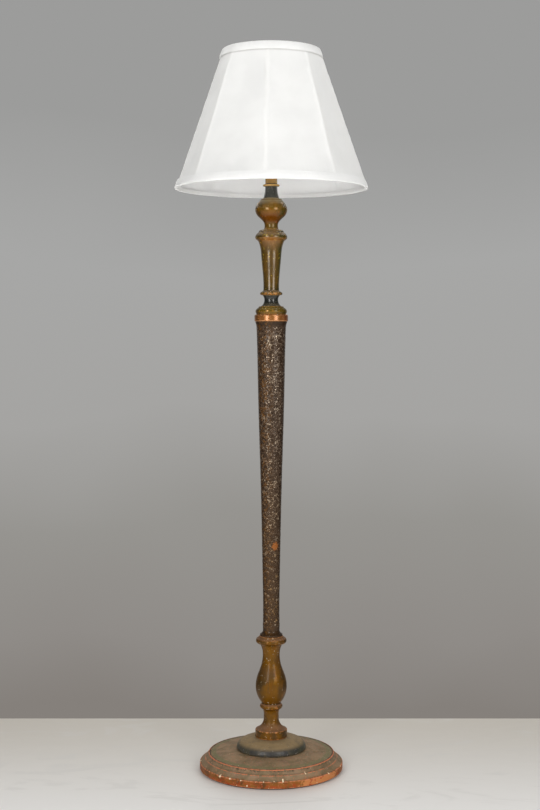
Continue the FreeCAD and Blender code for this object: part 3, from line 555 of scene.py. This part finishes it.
def basePaint():
    look = baseLook
    paint = Paint("basePaint", Coat_Weight=0.05, Coat_Roughness=0.35, Specular_IOR_Level=0.25)
    z, radius = paint.height(), paint.radius()
    clouds = paint.cloud(0.035, 5, 0.62, 0.8)
    small = paint.cloud(0.007, 4, 0.65, 0.4, seed=3.0)
    fine = paint.cloud(0.0016, 3, 0.6)
    # upright band: orange-brown, redder low down, with a bare patch to the right of the front
    band = paint.over(paint.mask(clouds, 0.42, 0.62), look["band"], look["bandDark"])
    reds = paint.times(paint.mask(small, 0.46, 0.60), paint.mask(z, 0.018, 0.004, 0.3, 1.0))
    band = paint.over(reds, band, look["bandRed"])
    # the top: dusty brown, greener beside the mouldings, with a painted shadow ring in the groove just
    # inside the rim
    top = paint.over(paint.mask(clouds, 0.36, 0.64), look["dusty"], look["dustyDark"])
    pinks = paint.mask(paint.cloud(0.014, 4, 0.6, 0.5, seed=6.0), 0.50, 0.70, 0, 0.5)
    top = paint.over(pinks, top, look["pink"])
    stains = paint.mask(paint.cloud(0.010, 4, 0.6, 0.5, seed=9.0), 0.62, 0.72, 0, 0.6)
    top = paint.over(stains, top, look["stain"])
    wavy = paint.calc("ADD", radius, paint.mask(small, 0.3, 0.7, -0.0012, 0.0012))
    # a green ring beside the mouldings, and painted shadow in the groove inside the rim
    for ring, soft, amount, shade in (("greenRing", 1.5 * mm, 0.75, "green"),
                                      ("shadowRing", 0.8 * mm, 0.8, "hollowDark")):
        inRing = paint.times(paint.between(wavy, *look[ring], soft), amount)
        top = paint.over(inRing, top, look[shade])
    onTop = paint.calc("ADD", z, paint.mask(small, 0.3, 0.7, -0.0016, 0.0016))
    color = paint.over(paint.mask(onTop, 0.0172, 0.0188), band, top)
    uneven = paint.calc("ADD", paint.mask(clouds, 0.3, 0.7, 0.5, 1.1), paint.mask(small, 0.3, 0.7, 0.0, 0.8))
    bare = paint.mask(paint.times(paint.mark("bare"), uneven), 0.60, 0.70)
    color = paint.over(bare, color, look["wood"])
    islands = paint.mask(paint.cloud(0.009, 3, 0.6, seed=14.0), 0.60, 0.64)
    color = paint.over(paint.times(bare, islands), color, look["bandRed"])
    # worn lines along the moulding edges, with ragged wider chips here and there
    ragged = paint.mask(paint.cloud(0.006, 4, 0.7, seed=8.0), 0.3, 0.7, -0.5, 0.45)
    worn = paint.mask(paint.calc("ADD", paint.mark("edge"), ragged), 0.55, 0.85)
    color = paint.over(worn, color, look["salmon"])
    # darker in the hollows of the mouldings
    hollowDark = paint.mask(paint.calc("ADD", paint.mark("hollow"), ragged), 0.45, 1.1, 0, 0.8)
    color = paint.over(hollowDark, color, look["hollowDark"])
    jagged = paint.mask(paint.cloud(0.0035, 4, 0.7, seed=15.0), 0.3, 0.7, -0.45, 0.35)
    chipped = paint.calc("ADD", paint.mark("chip"), jagged)
    color = paint.over(paint.mask(chipped, 0.15, 0.35, 0, 0.7), color, look["salmon"])
    color = paint.over(paint.mask(chipped, 0.42, 0.55), color, look["cream"])
    flecks = paint.mask(paint.cloud(0.0034, 2, 0.5, seed=12.0), 0.70, 0.73)
    color = paint.over(paint.times(flecks, 0.6), color, look["cream"])
    rough = paint.mask(small, 0.3, 0.7, 0.50, 0.74)
    paint.bumps((small, 0.35, 0.6 * mm), (fine, 0.35, 0.3 * mm))
    return paint.finish(color, rough)


def buildBase():
    look = baseLook
    rings = softCorners(fineLoop(outlineOf("base_plinth"), look["step"] * mm, 0.0), 2)
    height, chipMask = baseRelief(rings, look["segments"])
    mesh = latheMesh("turned_base_plinth", rings, look["segments"], height)
    angles = anglesOf(look["segments"])
    # a bare patch on the band, right of the front
    toward = math.radians(-90 + look["bareAt"])
    away = np.abs(shortWay(angles - toward))
    around = np.clip(1.4 - away / math.radians(look["bareSpread"]), 0, 1)
    onBand = np.clip((look["bandTop"] - rings[:, 1]) / (2 * mm), 0, 1) * (rings[:, 0] > 0.15)
    paintPoints(mesh, "bare", np.outer(onBand, around))
    paintPoints(mesh, "chip", chipMask)
    place("turned_base_plinth", mesh, "stand", basePaint(), "base_plinth")
    riser = dict(blackLook, main=tint(62, 60, 55), deep=tint(42, 42, 44), warm=tint(88, 77, 55),
                 under=tint(62, 56, 42), green=tint(66, 66, 44), dark=tint(78, 74, 48), paintedSidesReach=0.08,
                 dust=tint(136, 114, 80), dustAmount=0.95, dustFrom=0.40, rubbed=tint(104, 92, 66),
                 roughLow=0.36, roughHigh=0.55, coat=0.12, speck=tint(160, 154, 144))
    turnedPiece("base_riser", "stand", bronzePaint("riserPaint", riser), 384,
                relief=handTurned(0.15 * mm, 20 * mm, 21))


# shade

shadeLook = {
    "panels": 8, "turn": 3.5,                # degrees from the front to the front rib, to the left
    "drift": {7: 2.6, 1: 1.1},               # degrees that a rib's foot stands left of its head
    "across": 56, "down": 110,               # mesh points over one panel
    "flatness": 0.8,                         # share of the way from a full round to flat panels
    # all in mm: the sheets, the seams, the puckers, the tape's roll and how far a seam wanders
    "thickness": 0.5, "liningThickness": 0.3, "clothInset": 0.15, "liningInset": 4.8,
    "seamWidth": 4.5, "seamHeight": 0.55, "pucker": 0.35, "roll": 0.7, "sway": 0.7,
    "tuckAt": 16.0,                          # mm from the top ring down to the tape's edge
    "cloth": tint(252, 252, 251), "seam": tint(254, 254, 253), "lining": tint(252, 252, 252),
    "tuckShade": tint(196, 195, 192),
    # share of the light that goes on into each cloth instead of back
    "clothThrough": 0.56, "liningThrough": 0.62, "tapeThrough": 0.42,
}


def shadeCone():
    # the cone of the cloth between its rings, as (low z, high z, low radius, high radius)
    low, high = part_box("shade_cloth")[0].z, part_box("shade_cloth")[1].z
    points = np.array([v.co for v in nodes["shade_cloth"].data.vertices])
    radii = np.hypot(points[:, 0], points[:, 1])
    lowRadius = radii[points[:, 2] < low + mm].max()
    highRadius = radii[points[:, 2] > high - mm].max()
    return low, high, lowRadius, highRadius


def shadeLayer(name, inset, thickness, seamHeight, material, replaced):
    # one layer of stretched cloth: round at the rings, flatter between the ribs, raised at the seams
    look = shadeLook
    low, high, lowRadius, highRadius = shadeCone()
    columns = look["panels"] * look["across"]
    rows = look["down"] + 1
    v = np.linspace(0, 1, rows)[:, None]
    z = low + (high - low) * v + np.zeros((1, columns))
    cone = lowRadius + (highRadius - lowRadius) * v
    # the ribs run straight from ring to ring, and some of them lean to one side
    ribs = np.radians(-90 - look["turn"] + np.arange(look["panels"] + 1) * 360 / look["panels"])
    drift = np.radians([look["drift"].get(k % look["panels"], 0) for k in range(look["panels"] + 1)])
    sway = np.sin(z[:, :1] / mm / 23 + np.arange(look["panels"] + 1) % look["panels"] * 2.1)
    sway = sway * look["sway"] * mm
    ribs = ribs - drift * (1 - v) * lowRadius / cone + sway * np.minimum(1, np.minimum(v, 1 - v) * 6) / cone
    panel, across = np.divmod(np.arange(columns), look["across"])
    across = across[None, :] / look["across"]
    width = ribs[:, panel + 1] - ribs[:, panel]
    angles = ribs[:, panel] + width * across
    cone = cone - inset * mm
    chordDepth = cone * (1 - math.cos(math.pi / look["panels"]))
    toRing = np.minimum(z - low, high - z) / mm
    share = np.clip((toRing - 5) / 65, 0, 1)
    pull = look["flatness"] * chordDepth * np.sin(share * math.pi / 2)
    # across a panel the cloth follows an arc between a full round and its chord
    chord = np.cos(width / 2) / np.cos((across - 0.5) * width)
    r = cone - pull * (1 - chord) / (1 - np.cos(width / 2))
    toSeam = np.minimum(across, 1 - across) * width * cone / mm
    wander = 1 + 0.25 * np.sin(z / mm / 9.0 + angles * 3) + 0.12 * np.sin(z / mm / 3.7)
    seam = 1 / (1 + np.exp((toSeam - look["seamWidth"] * wander) * 1.6))
    stitch = np.exp(-(toSeam / 0.9) ** 2)
    r = r + (seam * seamHeight - stitch * seamHeight * 0.45) * mm
    # small puckers run in from both rings and along the seams
    ringFade = np.exp(-toRing / 14)
    pucker = np.sin(angles * 150 + 2 * np.sin(angles * 23)) * ringFade
    pucker = pucker + 0.8 * np.sin(z / mm / 4.3 + np.sin(z / mm / 17) * 2 + angles * 9) * np.exp(-toSeam / 7)
    r = r + pucker * look["pucker"] * mm * np.clip(toRing / 6, 0, 1)
    # a soft painted shade line where the cloth goes in under the top tape
    paintedTuckShade = np.exp(-((high - z - look["tuckAt"] * mm) / (1.3 * mm)) ** 2)
    outer = np.stack([r * np.cos(angles), r * np.sin(angles), z], 2)
    innerR = r - thickness * mm
    inner = np.stack([innerR * np.cos(angles), innerR * np.sin(angles), z], 2)
    points = np.concatenate([outer.reshape(-1, 3), inner.reshape(-1, 3)])
    i, j = np.meshgrid(np.arange(rows - 1), np.arange(columns), indexing="ij")
    k = (j + 1) % columns
    shell = np.stack([i * columns + j, i * columns + k, (i + 1) * columns + k, (i + 1) * columns + j], 2)
    shell = shell.reshape(-1, 4)
    size = rows * columns
    lining = shell[:, ::-1] + size
    j = np.arange(columns)
    k = (j + 1) % columns
    lowEdge = np.stack([j + size, k + size, k, j], 1)
    top = (rows - 1) * columns
    highEdge = np.stack([top + j, top + k, top + k + size, top + j + size], 1)
    mesh = meshFrom(name, points, np.concatenate([shell, lining, lowEdge, highEdge]))
    paintPoints(mesh, "seam", np.concatenate([seam.ravel(), seam.ravel()]))
    paintPoints(mesh, "paintedTuckShade", np.concatenate([paintedTuckShade.ravel(), paintedTuckShade.ravel()]))
    piece = place(name, mesh, "shade", material, replaced)
    area = sum(p.area for p in mesh.polygons) / 2
    return piece, area


def clothMaterial(name, color, seamColor, weave, through):
    paint = Paint(name, Specular_IOR_Level=0.2, Sheen_Weight=0.25, Sheen_Roughness=0.25)
    threads = paint.add("ShaderNodeTexWave", {"wave_type": "BANDS", "bands_direction": "Z"},
                        Scale=1 / weave, Distortion=0.6, Detail=1.0, Vector=paint.coords)
    slubs = paint.cloud(0.0011, 2, 0.5, 0, (0.25, 0.25, 3.0))
    soft = paint.cloud(0.05, 2, 0.5)
    base = paint.over(paint.mask(soft, 0.35, 0.65, 0, 1), color, tuple(0.97 * c for c in color[:3]) + (1.0,))
    base = paint.over(paint.mark("seam"), base, seamColor)
    # the painted shade line under the top tape
    base = paint.over(paint.times(paint.mark("paintedTuckShade"), 0.5), base, shadeLook["tuckShade"])
    paint.bumps((threads.outputs["Fac"], 0.12, 0.12 * mm), (slubs, 0.2, 0.12 * mm), (soft, 0.1, 1.0 * mm))
    material = paint.finish(base, paint.mask(slubs, 0.3, 0.7, 0.72, 0.88))
    glow = paint.add("ShaderNodeBsdfTranslucent", Color=base)
    mixed = paint.add("ShaderNodeMixShader")
    mixed.inputs[0].default_value = through
    paint.put(mixed.inputs[1], paint.shader.outputs[0])
    paint.put(mixed.inputs[2], glow.outputs[0])
    paint.put(paint.tree.nodes["Material Output"].inputs["Surface"], mixed.outputs[0])
    return material


def buildShade():
    look = shadeLook
    cloth = clothMaterial("shadeCloth", look["cloth"], look["seam"], 0.9 * mm, look["clothThrough"])
    lining = clothMaterial("shadeLining", look["lining"], look["lining"], 0.7 * mm, look["liningThrough"])
    tape = clothMaterial("shadeTape", look["cloth"], look["seam"], 0.9 * mm, look["tapeThrough"])
    outer, outerArea = shadeLayer("shade_cloth_panels", look["clothInset"], look["thickness"],
                                  look["seamHeight"], cloth, "shade_cloth")
    inner, innerArea = shadeLayer("shade_lining_panels", look["liningInset"], look["liningThickness"],
                                  0.0, lining, "shade_lining")
    for node in ("bottom_trim", "top_trim"):
        rings = softCorners(fineLoop(outlineOf(node), 0.6 * mm, 0.0), 2)
        count = 720
        angles = anglesOf(count)
        waves = np.sin(angles * 97 + 3 * np.sin(angles * 11)) + 0.6 * np.sin(angles * 211)
        outside = np.clip((rings[:, 0] - rings[:, 0].mean()) / (2 * mm) + 0.5, 0, 1)
        along = np.clip((rings[:, 1] - rings[:, 1].min()) / np.ptp(rings[:, 1]), 0, 1)
        roll = np.outer(outside * np.sin(along * math.pi), np.ones(count)) * look["roll"] * mm
        mesh = latheMesh("folded_" + node, rings, count, roll + np.outer(outside, waves) * 0.12 * mm)
        place("folded_" + node, mesh, "shade", tape, node)
    print("shade cloth", round(outerArea, 4), "m2, lining", round(innerArea, 4), "m2")


# hardware that keeps its solids

def metalPaint(name, color, dark, rough=0.3, metallic=1.0, scratch=0.3):
    paint = Paint(name)
    clouds = paint.cloud(0.008, 4, 0.6, 0.3)
    lines = paint.cloud(0.0007, 2, 0.5, 0, (1, 1, 8))
    base = paint.over(paint.mask(clouds, 0.45, 0.75), color, dark)
    paint.bumps((lines, scratch, 0.08 * mm))
    return paint.finish(base, paint.mask(clouds, 0.3, 0.7, rough, rough + 0.18), metallic)


def moulded(name, color, dark, rough=0.35):
    paint = Paint(name, Coat_Weight=0.2, Coat_Roughness=0.2)
    clouds = paint.cloud(0.012, 4, 0.6, 0.2)
    pits = paint.cloud(0.0009, 2, 0.5)
    base = paint.over(paint.mask(clouds, 0.4, 0.7), color, dark)
    paint.bumps((pits, 0.12, 0.1 * mm))
    return paint.finish(base, paint.mask(pits, 0.3, 0.7, rough, rough + 0.12))


def felt():
    paint = Paint("feltPad", Sheen_Weight=0.3, Specular_IOR_Level=0.2)
    fibres = paint.cloud(0.0009, 5, 0.75, 1.5)
    base = paint.over(paint.mask(fibres, 0.35, 0.65), tint(60, 50, 40), tint(92, 78, 62))
    paint.bumps((fibres, 0.7, 0.5 * mm))
    return paint.finish(base, paint.mask(fibres, 0.3, 0.7, 0.85, 0.95))


def frostedGlass():
    paint = Paint("frostedGlass", IOR=1.45, Transmission_Weight=0.35)
    grains = paint.cloud(0.0012, 2, 0.5)
    base = paint.over(paint.mask(grains, 0.3, 0.7), tint(238, 238, 232), tint(228, 229, 224))
    paint.bumps((grains, 0.1, 0.05 * mm))
    return paint.finish(base, paint.mask(grains, 0.3, 0.7, 0.25, 0.35))


def clearGlass():
    paint = Paint("stemGlass", IOR=1.5, Transmission_Weight=0.9)
    ripples = paint.cloud(0.006, 2, 0.5)
    base = paint.over(paint.mask(ripples, 0.3, 0.7), tint(235, 240, 240), tint(225, 232, 232))
    paint.bumps((ripples, 0.1, 0.1 * mm))
    return paint.finish(base, paint.mask(ripples, 0.3, 0.7, 0.03, 0.08))


def dressHardware():
    brass = metalPaint("brassHardware", tint(176, 140, 74), tint(120, 88, 42))
    plated = metalPaint("platedWire", tint(196, 168, 104), tint(150, 118, 64), 0.22)
    steel = metalPaint("zincSteel", tint(150, 150, 148), tint(112, 110, 106), 0.38)
    iron = metalPaint("castIron", tint(74, 68, 62), tint(52, 42, 36), 0.6, 0.5, 0.8)
    bright = metalPaint("brightBrass", tint(200, 168, 98), tint(160, 124, 66), 0.24)
    shell = metalPaint("bulbShell", tint(196, 196, 194), tint(160, 160, 158), 0.22)
    solder = metalPaint("solderTip", tint(150, 152, 154), tint(112, 114, 116), 0.4, 0.9)
    wire = metalPaint("tungstenWire", tint(96, 96, 98), tint(60, 60, 62), 0.4)
    whiteWire = moulded("whiteEnamel", tint(232, 232, 228), tint(214, 213, 206), 0.3)
    brown = moulded("brownMoulding", tint(46, 32, 24), tint(30, 21, 16))
    black = moulded("blackMoulding", tint(26, 25, 25), tint(16, 16, 16))
    lead = moulded("brownLead", tint(92, 68, 40), tint(70, 50, 30), 0.55)
    fibre = moulded("pressedFibre", tint(112, 94, 70), tint(86, 70, 52), 0.75)
    blackGlass = moulded("blackGlass", tint(18, 18, 22), tint(28, 28, 34), 0.1)
    dressed = {
        brass: ["socket_cap", "socket_shell", "harp_stud", "finial", "sleeve_left", "sleeve_right"],
        plated: ["harp", "harp_saddle", "spider"],
        steel: ["weight_screws", "foot_nut", "foot_washer", "stem_pipe", "saddle_nut", "cap_screw",
                "terminal_screws", "switch_stem"],
        iron: ["base_weight"], bright: ["screw_shell", "centre_contact"], shell: ["bulb_base"],
        solder: ["bulb_tip"], wire: ["filament"],
        whiteWire: ["shade_ribs", "shade_bottom_ring", "shade_top_ring"],
        brown: ["outlet_bushing", "switch_key"], black: ["socket_body"], lead: ["inner_lead"],
        fibre: ["shell_liner"], blackGlass: ["bulb_insulator"], felt(): ["felt_pad"],
        frostedGlass(): ["bulb_glass"], clearGlass(): ["bulb_stem"],
    }
    for material, names in dressed.items():
        for name in names:
            mesh = nodes[name].data
            for index in range(max(1, len(mesh.materials))):
                if mesh.materials:
                    mesh.materials[index] = material
                else:
                    mesh.materials.append(material)


# stage, light and camera

stageLook = {
    "floorEdge": 0.407,                      # where the pale floor meets the grey backdrop, in metres
    "stoneFront": tint(236, 234, 231), "stoneBack": tint(199, 193, 183), "vein": tint(208, 205, 200),
    # greys by the height of the line of sight
    "greys": [(-0.26, tint(133, 128, 123)), (-0.215, tint(143, 139, 135)), (-0.14, tint(150, 148, 144)),
              (-0.06, tint(165, 164, 162)), (0.05, tint(167, 167, 166)), (0.15, tint(156, 156, 155))],
    "cloudScale": 5.0, "cloudAmount": 0.09,
    "ambient": (1.0, 0.996, 0.992, 1), "ambientStrength": 0.35,
    "roomInFront": 0.14, "roomBehind": (0.55, 0.97),
}


def buildStage():
    look = stageLook
    size = 9.0
    edge = look["floorEdge"]
    points = [(-size, -size, 0), (size, -size, 0), (size, edge, 0), (-size, edge, 0)]
    floor = bpy.data.objects.new("floor", meshFrom("floor", np.array(points), np.array([[0, 1, 2, 3]])))
    bpy.context.scene.collection.objects.link(floor)
    paint = Paint("paleStone", Specular_IOR_Level=0.3)
    depth = paint.add("ShaderNodeSeparateXYZ", Vector=paint.coords).outputs["Y"]
    veins = paint.cloud(0.30, 5, 0.6, 2.5, (1, 2.2, 1))
    color = paint.over(paint.mask(depth, -0.5, 0.45), look["stoneFront"], look["stoneBack"])
    color = paint.over(paint.mask(veins, 0.54, 0.66, 0, 0.4), color, look["vein"])
    floor.data.materials.append(paint.finish(color, paint.mask(veins, 0.3, 0.7, 0.42, 0.55)))


def buildWorld():
    # an even pale light for the object, and a plain grey gradient where the camera sees past it;
    # polished paint mirrors that grey behind the lamp and a dimmer room in front of it
    look = stageLook
    world = bpy.data.worlds.new("studio")
    bpy.context.scene.world = world
    world.use_nodes = True
    world.cycles.sampling_method = "NONE"    # each kind of ray finds its own room
    tree = world.node_tree

    def made(kind, *values, **settings):
        # a node whose first inputs are linked or set in their order
        node = tree.nodes.new("ShaderNode" + kind)
        for key, value in settings.items():
            setattr(node, key, value)
        for socket, value in zip(node.inputs, values):
            if isinstance(value, bpy.types.Node):
                value = value.outputs[0]
            if isinstance(value, bpy.types.NodeSocket):
                tree.links.new(value, socket)
            else:
                socket.default_value = value
        return node

    light = tree.nodes["Background"]
    light.inputs["Color"].default_value = look["ambient"]
    light.inputs["Strength"].default_value = look["ambientStrength"]
    coords = made("TexCoord")
    way = made("SeparateXYZ", coords).outputs
    clouds = made("TexNoise", coords, 0.0, look["cloudScale"])
    centred = made("Math", way["Z"], look["cloudAmount"] / 2, operation="SUBTRACT")
    lift = made("Math", clouds, look["cloudAmount"], centred, operation="MULTIPLY_ADD")
    lowest, highest = look["greys"][0][0], look["greys"][-1][0]
    grey = made("ValToRGB", made("MapRange", lift, lowest, highest, 0, 1))
    stops = grey.color_ramp.elements
    while len(stops) < len(look["greys"]):
        stops.new(0.5)
    for stop, (height, color) in zip(stops, look["greys"]):
        stop.position = (height - lowest) / (highest - lowest)
        stop.color = color
    seen = made("Background", grey)
    room = made("MapRange", way["Y"], *look["roomBehind"], look["roomInFront"], 1.0)
    mirrored = made("Background", grey, room)
    path = made("LightPath").outputs
    # light that cloth lets through is soft, so it comes from the pale room and not from the grey
    clear = made("Math", path["Is Transmission Ray"], path["Is Diffuse Ray"],
                 operation="SUBTRACT", use_clamp=True)
    shiny = made("Math", path["Is Glossy Ray"], clear, operation="MAXIMUM")
    forShiny = made("MixShader", shiny, light, mirrored)
    forCamera = made("MixShader", path["Is Camera Ray"], forShiny, seen)
    tree.links.new(forCamera.outputs[0], tree.nodes["World Output"].inputs["Surface"])


# azimuth to the right of the camera and rise, both in degrees, as seen from the node that the lamp
# aims at, which is the knop unless it says otherwise; away and size in metres, power in watts
softboxes = {
    "softboxLeft": {"azimuth": -29, "rise": 5, "away": 2.6, "size": (0.8, 1.4), "power": 24},
    "softboxRight": {"azimuth": 34, "rise": 5, "away": 2.6, "size": (1.0, 1.4), "power": 22},
    "frontFill": {"azimuth": 3, "rise": 4, "away": 4.4, "size": (4.0, 1.6), "power": 66, "mirrored": False},
    "topBack": {"azimuth": 178, "rise": 62, "away": 2.6, "size": (2.0, 1.4), "power": 8, "mirrored": False},
    "backFill": {"azimuth": 176, "rise": 8, "away": 2.8, "size": (2.4, 1.8), "power": 52, "mirrored": False},
    # narrow beams that even out the light on the shade
    "shadeLeft": {"azimuth": -90, "rise": 20, "away": 1.5, "size": (0.5, 0.4), "power": 0.24,
                  "mirrored": False, "spread": 30, "aim": "shade_cloth"},
    "shadeRight": {"azimuth": 90, "rise": 20, "away": 1.5, "size": (0.5, 0.4), "power": 0.26,
                   "mirrored": False, "spread": 30, "aim": "shade_cloth"},
    "shadeUnder": {"azimuth": 0, "rise": -62, "away": 1.3, "size": (0.6, 0.3), "power": 0.42,
                   "mirrored": False, "spread": 30, "aim": "shade_cloth"},
}


def buildLights():
    for name, box in softboxes.items():
        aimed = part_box(box.get("aim", "knop"))
        target = Vector((0, 0, (aimed[0].z + aimed[1].z) / 2))
        lamp = bpy.data.lights.new(name, "AREA")
        lamp.shape = "RECTANGLE"
        lamp.size, lamp.size_y = box["size"]
        lamp.energy = box["power"]
        lamp.spread = math.radians(box.get("spread", 180))
        holder = bpy.data.objects.new(name, lamp)
        bpy.context.scene.collection.objects.link(holder)
        azimuth, rise = math.radians(box["azimuth"]), math.radians(box["rise"])
        level = math.cos(rise)
        way = Vector((math.sin(azimuth) * level, -math.cos(azimuth) * level, math.sin(rise)))
        holder.location = target + way * box["away"]
        holder.visible_camera = False
        holder.visible_glossy = box.get("mirrored", True)
        holder.rotation_mode = "QUATERNION"
        holder.rotation_quaternion = way.to_track_quat("Z", "Y")


cameraLook = {"place": (-0.0027, -3.1104, 0.9581), "pitchDown": 2.797, "lens": 63.16, "longSide": 36.0}


def buildCamera():
    look = cameraLook
    data = bpy.data.cameras.new("photoCamera")
    data.sensor_fit = "AUTO"
    data.sensor_width = look["longSide"]
    data.lens = look["lens"]
    data.clip_start, data.clip_end = 0.05, 60
    camera = bpy.data.objects.new("photoCamera", data)
    camera.location = look["place"]
    camera.rotation_euler = (math.radians(90 - look["pitchDown"]), 0, 0)
    bpy.context.scene.collection.objects.link(camera)
    bpy.context.scene.camera = camera


buildCamera()
buildStage()
buildWorld()
buildLights()
print("stage, lights and camera")
buildBase()
print("base")
buildColumn()
print("column")
buildShaft()
print("shaft")
buildShade()
print("shade")
dressHardware()
print("hardware")

bpy.context.scene.view_settings.view_transform = "Standard"
